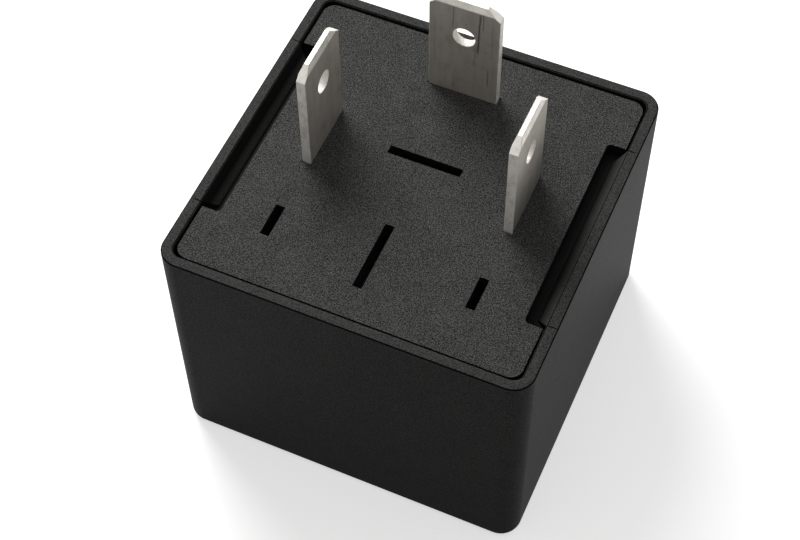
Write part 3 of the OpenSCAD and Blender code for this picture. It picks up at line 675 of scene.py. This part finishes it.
def makeTerminalPlate():
    s = plateShape
    w = s["width"] / 2
    d = s["depth"] / 2
    r = s["cornerRadius"]
    half = s["notchLength"] / 2
    deep = w - s["notchDepth"]
    q = s["notchRadius"]
    n = s["cornerSteps"]
    m = s["notchSteps"]

    def outside(notched):
        points = arcPoints(w - r, -d + r, r, -90, 0, n)
        if notched:
            points += [(w, -half)] + arcPoints(deep + q, -half + q, q, 270, 180, m)
            points += arcPoints(deep + q, half - q, q, 180, 90, m) + [(w, half)]
        points += arcPoints(w - r, d - r, r, 0, 90, n)
        points += arcPoints(-w + r, d - r, r, 90, 180, n)
        if notched:
            points += [(-w, half)] + arcPoints(-deep - q, half - q, q, 90, 0, m)
            points += arcPoints(-deep - q, -half + q, q, 0, -90, m) + [(-w, -half)]
        points += arcPoints(-w + r, -d + r, r, 180, 270, n)
        return points

    holes = [slotOutline(*slot) for slot in s["slots"]]
    bm = bmesh.new()
    for notched, low, high in ((True, s["ledge"], s["top"]), (False, s["bottom"], s["ledge"])):
        before = set(bm.verts)
        cutSheet(bm, [outside(notched)] + holes, high - low)
        fresh = [v for v in bm.verts if v not in before]
        # the outline was drawn upright: lay it flat at its height
        for v in fresh:
            x, y, z = v.co
            v.co = Vector((x, z, (low + high) / 2 * mm - y))
    boss = s["bossRadius"]
    peg = s["pegRadius"]
    head = s["pegHead"]
    root = s["bottom"] + s["bossRoot"]
    ease = s["bossChamfer"]
    profile = [(0.0, root), (boss, root), (boss, s["yokeTop"] + ease), (boss - ease, s["yokeTop"]),
        (peg, s["yokeTop"]), (peg, s["yokeBottom"]), (head, s["yokeBottom"])]
    profile += [(head - inset, s["yokeBottom"] - down) for inset, down in s["pegRound"]]
    profile.append((0.0, s["pegEnd"]))
    profile = [(radius * mm, z * mm) for radius, z in profile]
    for x, y in s["bosses"]:
        addLathe(bm, profile, s["turnSteps"], (x * mm, y * mm))
    bmesh.ops.recalc_face_normals(bm, faces=bm.faces[:])
    for face in bm.faces:
        if abs(face.normal.z) < leaning:
            face.material_index = 1      # walls of the slots and notches, painted near black for their shade
        elif face.calc_center_median().z < (s["top"] - s["topSkin"]) * mm:
            # the ledge and underside take the darker lip colour: painted shade on the notches' floor
            face.material_index = 2
    mesh = meshFrom(bm, "terminal_plate")
    finishes = [plasticMaterials[k] for k in ("plate", "inside", "lip")]
    plate = finishPiece("terminal_plate", mesh, finishes, "housing", ["base_plate"])
    roundEdges(plate, s["edge"] * mm, s["edgeSteps"], s["edgeAngle"], 0)
    return plate


plate = makeTerminalPlate()
print("terminal plate made:", len(plate.data.polygons), "faces")


# ---- tin plated blades ----
bladeFinish = {
    "face": (0.62, 0.59, 0.535),
    "dull": (0.48, 0.45, 0.40),
    "stain": (0.42, 0.34, 0.295),
    "scratch": (0.035, 0.03, 0.024),
    "rearWear": 0.2,             # scratches on the face turned to the rear
    "footShadeHeight": 8.0,        # millimetres above the plate where the painted shade at the foot fades out
    "streakAcross": 3200.0,
    "streakAlong": 110.0,
    "streakRange": (0.35, 0.7, 0.2, 0.75),
    "stainRange": (0.5, 0.72, 0.0, 0.65),
    "waver": 0.12,
    "spotScale": 1100.0,
    "spotSize": 0.22,
    "spotDepth": 0.6,
    "breakRange": (0.3, 0.55, 0.5, 1.0),         # where fine lines break a scratch up
    "metallic": 0.6,
    "roughness": 0.42,
    "roughSpread": 0.35,
    "roughDrop": 0.13,
    "scratchRough": 0.25,
    "grainRelief": 0.6,
    "scratchRelief": -1.0,
    "relief": 0.012,             # millimetres
    "turnOver": 0.1,             # either side of the middle of the sheet, where the scratches fade out
}

cutFinish = {
    "roughness": 0.36,
    "roughSpread": 0.3,
    "roughDrop": 0.1,
    "dullRange": (0.42, 0.66),
    "glintRange": (0.56, 0.68),
    "stretch": 0.5,              # along the blade, as a share of the grain across it
}
sheared = {"bright": (0.95, 0.915, 0.86), "dull": (0.72, 0.675, 0.61), "metallic": 0.1, "grain": 5200.0,
    "relief": 0.03}
coined = {"bright": (0.76, 0.73, 0.675), "dull": (0.62, 0.585, 0.53), "metallic": 0.7, "grain": 3600.0,
    "relief": 0.008}

bladeShape = {  # millimetres
    "thickness": 0.8,
    "width": 6.3,
    "tip": 36.45,
    "foot": 25.35,
    "tipCutWidth": 1.2,
    "tipCutHeight": 1.0,
    "tipBevel": 0.2,
    "tipBevelHeight": 0.6,
    "holeRadius": 1.0,
    "holeHeight": 32.45,
    "shoulderTop": 22.75,
    "shoulderBottom": 21.25,
    "shoulder": 0.95,
    "legWidth": 4.6,
    "edge": 0.045,
    "edgeSteps": 2,
    "edgeAngle": 14,             # degrees
    "holeSteps": 48,
    "wireHoleSteps": 16,
}


def bladeMaterial(name, blade):
    look = bladeFinish
    material, tree, face, place = newMaterial(name, look["roughness"], look["metallic"])
    streaks = useGroup(tree, rolledStreaks, {"Vector": place, "Across": look["streakAcross"],
        "Along": look["streakAlong"]})
    across = 1 if blade["turn"] else 0           # the axis along the blade's width
    centre, sheetAt = blade["place"][across], blade["place"][1 - across]
    xyz = splitAxes(tree, place)
    u = maths(tree, "MULTIPLY_ADD", xyz[across], perMetre, -centre)
    v = maths(tree, "MULTIPLY", xyz[2], perMetre)
    color = blended(tree, ramp(tree, streaks["Streak"], *look["streakRange"]), look["face"], look["dull"])
    color = blended(tree, ramp(tree, streaks["Blotch"], *look["stainRange"]), color, look["stain"])
    foot = bladeShape["foot"]
    # painted shade: the colour darkens towards the foot, for the dark plate that the blade reflects
    color = tinted(tree, color, ramp(tree, v, foot, foot + look["footShadeHeight"], blade["paintedFootShade"], 1.0))
    marks = None
    for atU, atV, length, width, lean, depth in blade["scratches"]:
        line = useGroup(tree, scratchLine, {"U": u, "V": v, "At U": atU, "At V": atV, "Length": length,
            "Width": width, "Lean": lean, "Waver": look["waver"]})["Mask"]
        line = maths(tree, "MULTIPLY", line, depth)
        marks = line if marks is None else maths(tree, "MAXIMUM", marks, line)
    facing = blade["facing"]
    stand = maths(tree, "MULTIPLY_ADD", xyz[1 - across], perMetre * facing, -sheetAt * facing)
    edge = look["turnOver"]
    marks = maths(tree, "MULTIPLY", marks, ramp(tree, stand, -edge, edge, look["rearWear"], 1.0))
    dots = useGroup(tree, specks, {"Vector": place, "Scale": look["spotScale"], "Size": look["spotSize"],
        "Share": blade["spots"]})["Mask"]
    marks = maths(tree, "MAXIMUM", marks, maths(tree, "MULTIPLY", dots, look["spotDepth"]))
    broken = maths(tree, "MULTIPLY", marks, ramp(tree, streaks["Fine"], *look["breakRange"]))
    feed(tree, blended(tree, broken, color, look["scratch"]), face["Base Color"])
    rough = maths(tree, "MULTIPLY_ADD", streaks["Fine"], look["roughSpread"],
        look["roughness"] - look["roughDrop"])
    feed(tree, maths(tree, "MULTIPLY_ADD", broken, look["scratchRough"], rough), face["Roughness"])
    dents = maths(tree, "MULTIPLY", broken, look["scratchRelief"])
    height = maths(tree, "MULTIPLY_ADD", streaks["Fine"], look["grainRelief"], dents)
    feed(tree, bumped(tree, height, look["relief"] * mm), face["Normal"])
    return material


def cutMetal(name, surface):
    look = cutFinish
    material, tree, face, place = newMaterial(name, look["roughness"], surface["metallic"])
    grain = surface["grain"]
    streaks = useGroup(tree, rolledStreaks, {"Vector": place, "Across": grain,
        "Along": grain * look["stretch"]})
    worn = ramp(tree, streaks["Streak"], *look["dullRange"])
    color = blended(tree, worn, surface["bright"], surface["dull"])
    glint = ramp(tree, streaks["Fine"], *look["glintRange"])
    feed(tree, blended(tree, glint, color, surface["bright"]), face["Base Color"])
    rough = maths(tree, "MULTIPLY_ADD", streaks["Fine"], look["roughSpread"],
        look["roughness"] - look["roughDrop"])
    feed(tree, rough, face["Roughness"])
    feed(tree, bumped(tree, streaks["Fine"], surface["relief"] * mm), face["Normal"])
    return material


cutEdge = cutMetal("blade_cut_edge", sheared)
coinedTip = cutMetal("blade_coined_tip", coined)


def bladeOutline(legEnd):
    s = bladeShape
    half = s["width"] / 2
    wide = half + s["shoulder"]
    leg = s["legWidth"] / 2
    low, high = s["shoulderBottom"], s["shoulderTop"]
    right = [(leg, legEnd), (leg, low), (wide, low), (wide, high), (half, high),
        (half, s["tip"] - s["tipCutHeight"]), (half - s["tipCutWidth"], s["tip"])]
    return right + [(-u, z) for u, z in reversed(right)]


def circleOutline(u, z, radius, steps):
    turns = [2 * math.pi * k / steps for k in range(steps)]
    return [(u + radius * math.cos(a), z + radius * math.sin(a)) for a in turns]


def cutAcross(bm, height):
    geometry = bm.verts[:] + bm.edges[:] + bm.faces[:]
    bmesh.ops.bisect_plane(bm, geom=geometry, plane_co=(0, 0, height * mm), plane_no=(0, 0, 1))


def bevelTip(bm):
    s = bladeShape
    start = s["tip"] - s["tipBevelHeight"]
    cutAcross(bm, start)
    for v in bm.verts:
        z = v.co.z / mm
        if z > start + hair:
            keep = 1 - s["tipBevel"] * (z - start) / s["tipBevelHeight"] / (s["thickness"] / 2)
            v.co.y *= keep


def brightEdges(bm):
    # faces across the stock are sheared (1), the tip is coined (2)
    bmesh.ops.recalc_face_normals(bm, faces=bm.faces[:])
    s = bladeShape
    start = (s["tip"] - s["tipBevelHeight"]) * mm
    sidesEnd = (s["tip"] - s["tipCutHeight"]) * mm
    for face in bm.faces:
        middle = face.calc_center_median()
        if abs(face.normal.y) >= leaning:
            face.material_index = 2 if middle.z > start else 0
        elif middle.z > sidesEnd:
            face.material_index = 2
        else:
            face.material_index = 1


def makeBlade(name, blade, material):
    # drawn across x, then turned about the upright and moved to its slot
    s = bladeShape
    bm = bmesh.new()
    holes = [circleOutline(0.0, s["holeHeight"], s["holeRadius"], s["holeSteps"])]
    holes += [circleOutline(u, z, radius, s["wireHoleSteps"]) for u, z, radius in blade["wireHoles"]]
    cutSheet(bm, [bladeOutline(blade["legEnd"])] + holes, s["thickness"])
    bevelTip(bm)
    brightEdges(bm)
    spin = Matrix.Rotation(math.radians(blade["turn"]), 4, "Z")
    bm.transform(Matrix.Translation(Vector((*blade["place"], 0.0)) * mm) @ spin)
    finishes = [material, cutEdge, coinedTip]
    piece = finishPiece(name, meshFrom(bm, name), finishes, "housing", [blade["node"]])
    roundEdges(piece, s["edge"] * mm, s["edgeSteps"], s["edgeAngle"], 1)


# each scratch: across, height, length, half width, lean, depth; millimetres
# facing is the side that the scratches are on; paintedFootShade paints shade on the foot; spots is their
# share
# each wire hole: across, height, radius; millimetres
wireHoles = [(-1.5, 18.45, 0.2), (1.3, 16.35, 0.3)]
blades = {
    "load": {"node": "load_blade", "turn": 0, "place": (0.0, 10.3), "legEnd": 7.35, "wireHoles": [],
        "facing": -1, "spots": 0.16, "paintedFootShade": 0.98,
        "scratches": [
            (1.32, 33.4, 6.6, 0.17, 0.03, 1.0),
            (1.66, 34.9, 2.6, 0.08, 0.0, 1.0),
            (1.0, 30.6, 2.6, 0.10, 0.05, 0.7),
            (-1.0, 34.6, 3.4, 0.09, 0.03, 0.8),
            (2.25, 28.2, 2.4, 0.10, 0.0, 0.8),
            (-2.6, 31.0, 7.0, 0.10, 0.0, 0.35),
            (2.5, 33.0, 5.0, 0.10, 0.0, 0.4)]},
    "supply": {"node": "supply_blade", "turn": 90, "place": (-9.05, 1.0), "legEnd": 8.55,
        "wireHoles": wireHoles, "facing": 1, "spots": 0.1, "paintedFootShade": 0.78,
        "scratches": [(0.3, 33.0, 4.0, 0.05, 0.0, 0.6), (-1.8, 33.2, 3.6, 0.05, 0.0, 0.5)]},
    "coil": {"node": "coil_blade", "turn": 90, "place": (9.05, 1.0), "legEnd": 8.55,
        "wireHoles": wireHoles, "facing": 1, "spots": 0.1, "paintedFootShade": 0.4,
        "scratches": [(1.2, 33.0, 4.0, 0.05, 0.0, 0.5), (-0.8, 31.0, 3.6, 0.05, 0.0, 0.5)]},
}
bladeMetals = {name: bladeMaterial("blade_" + name, blade) for name, blade in blades.items()}
for name, blade in blades.items():
    makeBlade(name + "_terminal", blade, bladeMetals[name])
print("blades made")


# ---- inner pieces keep their own solids and get their finish here ----
def dress(node, material):
    for slot in cad[node].material_slots:
        slot.material = material


def turned(tree, vector, axis):
    # swaps the axes so that the lines of rolledStreaks run along the one named
    xyz = splitAxes(tree, vector)
    return joinAxes(tree, [xyz[(axis + 1 + i) % 3] for i in range(3)])


drawnLook = {
    "wornRange": (0.35, 0.7),
    "stainRange": (0.5, 0.75, 0.0),
    "roughSpread": 0.3,
    "roughDrop": 0.15,
}


def drawnMetal(name, look):
    shared = drawnLook
    material, tree, face, place = newMaterial(name, look["roughness"], 1.0)
    vector = turned(tree, place, look["along"])
    streaks = useGroup(tree, rolledStreaks, {"Vector": vector, "Across": look["across"],
        "Along": look["stretch"]})
    worn = ramp(tree, streaks["Streak"], *shared["wornRange"])
    color = blended(tree, worn, look["color"], look["worn"])
    stain = ramp(tree, streaks["Blotch"], *shared["stainRange"], look["stain"])
    feed(tree, blended(tree, stain, color, look["worn"]), face["Base Color"])
    rough = maths(tree, "MULTIPLY_ADD", streaks["Fine"], shared["roughSpread"],
        look["roughness"] - shared["roughDrop"])
    feed(tree, rough, face["Roughness"])
    feed(tree, bumped(tree, streaks["Fine"], look["depth"] * mm), face["Normal"])
    return material


metals = {       # along is the axis of the lines: 0 x, 1 y, 2 z; depth in millimetres
    "zincPlate": {"color": (0.40, 0.40, 0.38), "worn": (0.26, 0.26, 0.235), "roughness": 0.52,
        "along": 2, "across": 2200.0, "stretch": 150.0, "stain": 0.5, "depth": 0.01},
    "stripMetal": {"color": (0.50, 0.475, 0.43), "worn": (0.36, 0.338, 0.30), "roughness": 0.42,
        "along": 2, "across": 3200.0, "stretch": 110.0, "stain": 0.5, "depth": 0.012},
    "leafBronze": {"color": (0.66, 0.43, 0.24), "worn": (0.48, 0.29, 0.15), "roughness": 0.34,
        "along": 1, "across": 3000.0, "stretch": 90.0, "stain": 0.4, "depth": 0.006},
    "steelRivet": {"color": (0.60, 0.60, 0.58), "worn": (0.42, 0.41, 0.39), "roughness": 0.32,
        "along": 2, "across": 2600.0, "stretch": 2000.0, "stain": 0.3, "depth": 0.008},
    "brassStud": {"color": (0.72, 0.54, 0.23), "worn": (0.52, 0.37, 0.14), "roughness": 0.3,
        "along": 2, "across": 2600.0, "stretch": 1800.0, "stain": 0.3, "depth": 0.008},
    "contactSilver": {"color": (0.84, 0.82, 0.77), "worn": (0.60, 0.57, 0.51), "roughness": 0.3,
        "along": 2, "across": 2000.0, "stretch": 2000.0, "stain": 0.6, "depth": 0.01},
    "springWire": {"color": (0.52, 0.52, 0.53), "worn": (0.34, 0.33, 0.32), "roughness": 0.26,
        "along": 0, "across": 4200.0, "stretch": 700.0, "stain": 0.3, "depth": 0.004},
    "enamelWire": {"color": (0.60, 0.23, 0.09), "worn": (0.42, 0.13, 0.05), "roughness": 0.24,
        "along": 0, "across": 4200.0, "stretch": 500.0, "stain": 0.4, "depth": 0.004},
    "tinnedWire": {"color": (0.68, 0.67, 0.65), "worn": (0.48, 0.47, 0.45), "roughness": 0.3,
        "along": 0, "across": 4200.0, "stretch": 400.0, "stain": 0.3, "depth": 0.004},
    "solder": {"color": (0.73, 0.73, 0.74), "worn": (0.50, 0.50, 0.51), "roughness": 0.24,
        "along": 2, "across": 1500.0, "stretch": 1300.0, "stain": 0.5, "depth": 0.02},
}
madeOf = {
    "zincPlate": ["yoke", "core", "armature"],
    "stripMetal": ["contact_bracket"],
    "leafBronze": ["contact_leaf"],
    "steelRivet": ["leaf_rivets"],
    "brassStud": ["residual_stud"],
    "contactSilver": ["moving_contact", "fixed_contact"],
    "enamelWire": ["supply_coil_wire", "return_coil_wire"],
    "tinnedWire": ["resistor_leads"],
    "solder": ["solder_joints"],
}
metalMaterials = {finish: drawnMetal(finish, look) for finish, look in metals.items()}
for finish, nodes in madeOf.items():
    for node in nodes:
        dress(node, metalMaterials[finish])

bobbinLook = {"color": (0.62, 0.575, 0.46), "roughness": 0.5, "specular": 0.4, "grainScale": 3000.0,
    "contrast": 0.12, "sparkle": 0.0, "depth": 0.006 * mm}
dress("bobbin", mouldedPlastic("bobbinPlastic", bobbinLook))

windingLook = {
    "pitch": 0.16,               # millimetres from turn to turn
    "color": (0.62, 0.235, 0.085),
    # painted shade: the dark colour between the turns
    "grooveShade": (0.13, 0.035, 0.012),
    "grooveRange": (0.0, 0.5),
    "swayScale": 250.0,          # how the turns wander, and by how many turns
    "sway": 0.5,
    "tint": (150.0, 150.0, 9000.0),
    "tintSpread": 0.6,
    "tintFrom": 0.7,
    "metallic": 0.85,
    "roughness": 0.28,
    "coat": 0.6,
    "coatRoughness": 0.12,
    "relief": 0.05,
}


def woundWire():
    look = windingLook
    material, tree, face, place = newMaterial("woundWire", look["roughness"], look["metallic"])
    face["Coat Weight"].default_value = look["coat"]
    face["Coat Roughness"].default_value = look["coatRoughness"]
    height = splitAxes(tree, place)[2]
    wander = noiseAt(tree, place, look["swayScale"])
    sway = maths(tree, "MULTIPLY_ADD", wander, look["sway"], -look["sway"] / 2)
    count = maths(tree, "MULTIPLY_ADD", height, perMetre / look["pitch"], sway)
    across = maths(tree, "MULTIPLY_ADD", maths(tree, "FRACT", count), 2.0, -1.0)
    crown = maths(tree, "SUBTRACT", 1.0, maths(tree, "MULTIPLY", across, across))
    patches = noiseAt(tree, stretched(tree, place, look["tint"]), 1.0)
    tint = maths(tree, "MULTIPLY_ADD", patches, look["tintSpread"], look["tintFrom"])
    wire = tinted(tree, look["color"], tint)
    # painted shade between the turns, where the crown falls away
    crest = ramp(tree, crown, *look["grooveRange"])
    feed(tree, blended(tree, crest, look["grooveShade"], wire), face["Base Color"])
    feed(tree, bumped(tree, crown, look["relief"] * mm), face["Normal"])
    return material


tapeLook = {
    "color": (0.66, 0.43, 0.06),
    "dark": (0.50, 0.29, 0.03),
    "wrinkle": (500.0, 500.0, 180.0),
    "wrinkleRange": (0.35, 0.7),
    "roughness": 0.22,
    "coat": 0.4,
    "coatRoughness": 0.1,
    "lap": 0.35,                 # half width of the overlap, millimetres
    "lapShade": 0.6,
    "relief": 0.03,
}


def polyesterTape():
    look = tapeLook
    material, tree, face, place = newMaterial("polyesterTape", look["roughness"])
    face["Coat Weight"].default_value = look["coat"]
    face["Coat Roughness"].default_value = look["coatRoughness"]
    wrinkle = noiseAt(tree, stretched(tree, place, look["wrinkle"]), 1.0, 3.0, 0.6)
    color = blended(tree, ramp(tree, wrinkle, *look["wrinkleRange"]), look["color"], look["dark"])
    fromLap = maths(tree, "ABSOLUTE", splitAxes(tree, place)[0])
    lap = ramp(tree, fromLap, 0.0, look["lap"] * mm, look["lapShade"], 1.0)
    feed(tree, tinted(tree, color, lap), face["Base Color"])
    feed(tree, bumped(tree, wrinkle, look["relief"] * mm), face["Normal"])
    return material


braidLook = {
    "color": (0.66, 0.34, 0.17),
    # painted shade: the dark colour between the strands
    "gap": (0.10, 0.04, 0.02),
    "gapRange": (-0.3, 0.6),
    "strands": 18000.0,
    "roughness": 0.36,
    "relief": 0.04,
}


def copperBraid():
    # two families of slanting strands, with painted shade between them
    look = braidLook
    material, tree, face, place = newMaterial("copperBraid", look["roughness"], 1.0)
    x, y, z = splitAxes(tree, place)
    around = maths(tree, "ADD", x, y)
    families = []
    for sign in (1.0, -1.0):
        slant = maths(tree, "MULTIPLY", maths(tree, "MULTIPLY_ADD", z, sign, around), look["strands"])
        families.append(maths(tree, "SINE", slant))
    height = maths(tree, "MAXIMUM", *families)
    strands = blended(tree, ramp(tree, height, *look["gapRange"]), look["gap"], look["color"])
    feed(tree, strands, face["Base Color"])
    feed(tree, bumped(tree, height, look["relief"] * mm), face["Normal"])
    return material


resistorLook = {
    "lacquer": (0.14, 0.30, 0.46),
    "roughness": 0.3,
    "coat": 0.5,
    "speckScale": 2600.0,
    "speckRange": (0.3, 0.7, 0.85, 1.15),
    "orangePeel": 1500.0,
    "relief": 0.02,
    "bandWidth": 0.5,            # millimetres
    "bands": [(-1.9, (0.05, 0.16, 0.55)), (-0.9, (0.30, 0.30, 0.30)), (0.1, (0.18, 0.07, 0.03)),
        (1.7, (0.62, 0.42, 0.12))],
}


def bandedLacquer():
    look = resistorLook
    material, tree, face, place = newMaterial("bandedLacquer", look["roughness"])
    face["Coat Weight"].default_value = look["coat"]
    along = maths(tree, "MULTIPLY", splitAxes(tree, place)[0], perMetre)
    speck = ramp(tree, noiseAt(tree, place, look["speckScale"], 3.0), *look["speckRange"])
    color = tinted(tree, look["lacquer"], speck)
    for at, band in look["bands"]:
        mask = maths(tree, "COMPARE", along, at, look["bandWidth"] / 2)
        color = blended(tree, mask, color, band)
    feed(tree, color, face["Base Color"])
    peel = noiseAt(tree, place, look["orangePeel"])
    feed(tree, bumped(tree, peel, look["relief"] * mm), face["Normal"])
    return material


dress("winding", woundWire())
dress("winding_tape", polyesterTape())
dress("resistor_body", bandedLacquer())
print("inner pieces finished")


def makeFlexing(name, node, material):
    mesh = cad[node].data.copy()
    mesh.name = name
    mesh.materials.clear()
    mesh.materials.append(material)
    for face in mesh.polygons:
        face.use_smooth = True
    piece = bpy.data.objects.new(name, mesh)
    bpy.context.scene.collection.objects.link(piece)
    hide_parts(node)
    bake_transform(piece)


makeFlexing("tension_spring", "return_spring", metalMaterials["springWire"])
makeFlexing("flexible_lead", "braid", copperBraid())
print("spring and lead made")


# ---- floor, light and camera ----
studio = {
    "floorColor": (0.86, 0.86, 0.855),
    "floorRoughness": 0.9,
    "floorSpecular": 0.1,
    "floorLift": 0.565,
    "floorSize": 3.0,
    "floorDrop": 1e-5,           # keeps it clear of the can's closed end
    "worldLight": 0.26,
    "aim": (0.0, 0.0, 0.02),
    "keyPower": 0.58,
    "keySize": 0.15,
    "keyPlace": (-0.125, 0.115, 0.2),
    "topPower": 0.15,
    "topSize": 0.5,
    "topPlace": (0.02, -0.02, 0.46),
    "lens": 78.69,
    "sensor": 36.0,
    "clipStart": 0.005,
    "azimuth": 24.35,            # degrees
    "elevation": 55.82,
    "roll": -0.75,
    "target": (2.573, -9.223, 25.6),             # millimetres
    "distance": 139.857,
}


def seenDirectly(tree):
    # 1 for the rays of the camera and of gloss and glass, 0 for the light that falls on the object
    path = put(tree, "ShaderNodeLightPath").outputs
    seen = maths(tree, "ADD", path["Is Camera Ray"], path["Is Glossy Ray"])
    return maths(tree, "ADD", seen, path["Is Transmission Ray"], clamp=True)


def makeFloor():
    mesh = bpy.data.meshes.new("floor")
    size, z = studio["floorSize"], -studio["floorDrop"]
    corners = [(-size, -size, z), (size, -size, z), (size, size, z), (-size, size, z)]
    mesh.from_pydata(corners, [], [(0, 1, 2, 3)])
    floor = bpy.data.objects.new("floor", mesh)
    bpy.context.scene.collection.objects.link(floor)
    material, tree, face, place = newMaterial("floor_paper", studio["floorRoughness"], 0.0,
        studio["floorSpecular"])
    face["Base Color"].default_value = (*studio["floorColor"], 1.0)
    face["Emission Color"].default_value = (1.0, 1.0, 1.0, 1.0)
    lift = maths(tree, "MULTIPLY", seenDirectly(tree), studio["floorLift"])
    feed(tree, lift, face["Emission Strength"])
    mesh.materials.append(material)


def makeWorld():
    world = bpy.data.worlds.new("studio")
    bpy.context.scene.world = world
    world.use_nodes = True
    tree = world.node_tree
    back = tree.nodes["Background"].inputs
    light = studio["worldLight"]
    back["Color"].default_value = (1.0, 1.0, 1.0, 1.0)
    feed(tree, maths(tree, "MULTIPLY_ADD", seenDirectly(tree), 1.0 - light, light), back["Strength"])


def makeLamp(name):
    lamp = bpy.data.lights.new(name, "AREA")
    lamp.shape = "DISK"
    lamp.size = studio[name + "Size"]
    lamp.energy = studio[name + "Power"]
    obj = bpy.data.objects.new(name, lamp)
    bpy.context.scene.collection.objects.link(obj)
    place = Vector(studio[name + "Place"])
    obj.location = place
    obj.rotation_euler = (Vector(studio["aim"]) - place).to_track_quat("-Z", "Y").to_euler()


def makeCamera():
    az = math.radians(studio["azimuth"])
    el = math.radians(studio["elevation"])
    roll = math.radians(studio["roll"])
    back = Vector((math.sin(az) * math.cos(el), -math.cos(az) * math.cos(el), math.sin(el)))
    right = Vector((math.cos(az), math.sin(az), 0.0))
    up = back.cross(right)
    acrossView = right * math.cos(roll) + up * math.sin(roll)
    upView = up * math.cos(roll) - right * math.sin(roll)
    data = bpy.data.cameras.new("camera")
    data.lens = studio["lens"]
    data.sensor_width = studio["sensor"]
    data.clip_start = studio["clipStart"]
    camera = bpy.data.objects.new("camera", data)
    bpy.context.scene.collection.objects.link(camera)
    turn = Matrix((acrossView, upView, back)).transposed().to_4x4()
    place = (Vector(studio["target"]) + back * studio["distance"]) * mm
    camera.matrix_world = Matrix.Translation(place) @ turn
    bpy.context.scene.camera = camera


makeFloor()
makeWorld()
makeLamp("key")
makeLamp("top")
makeCamera()
bpy.context.scene.view_settings.view_transform = "Standard"
print("studio set")
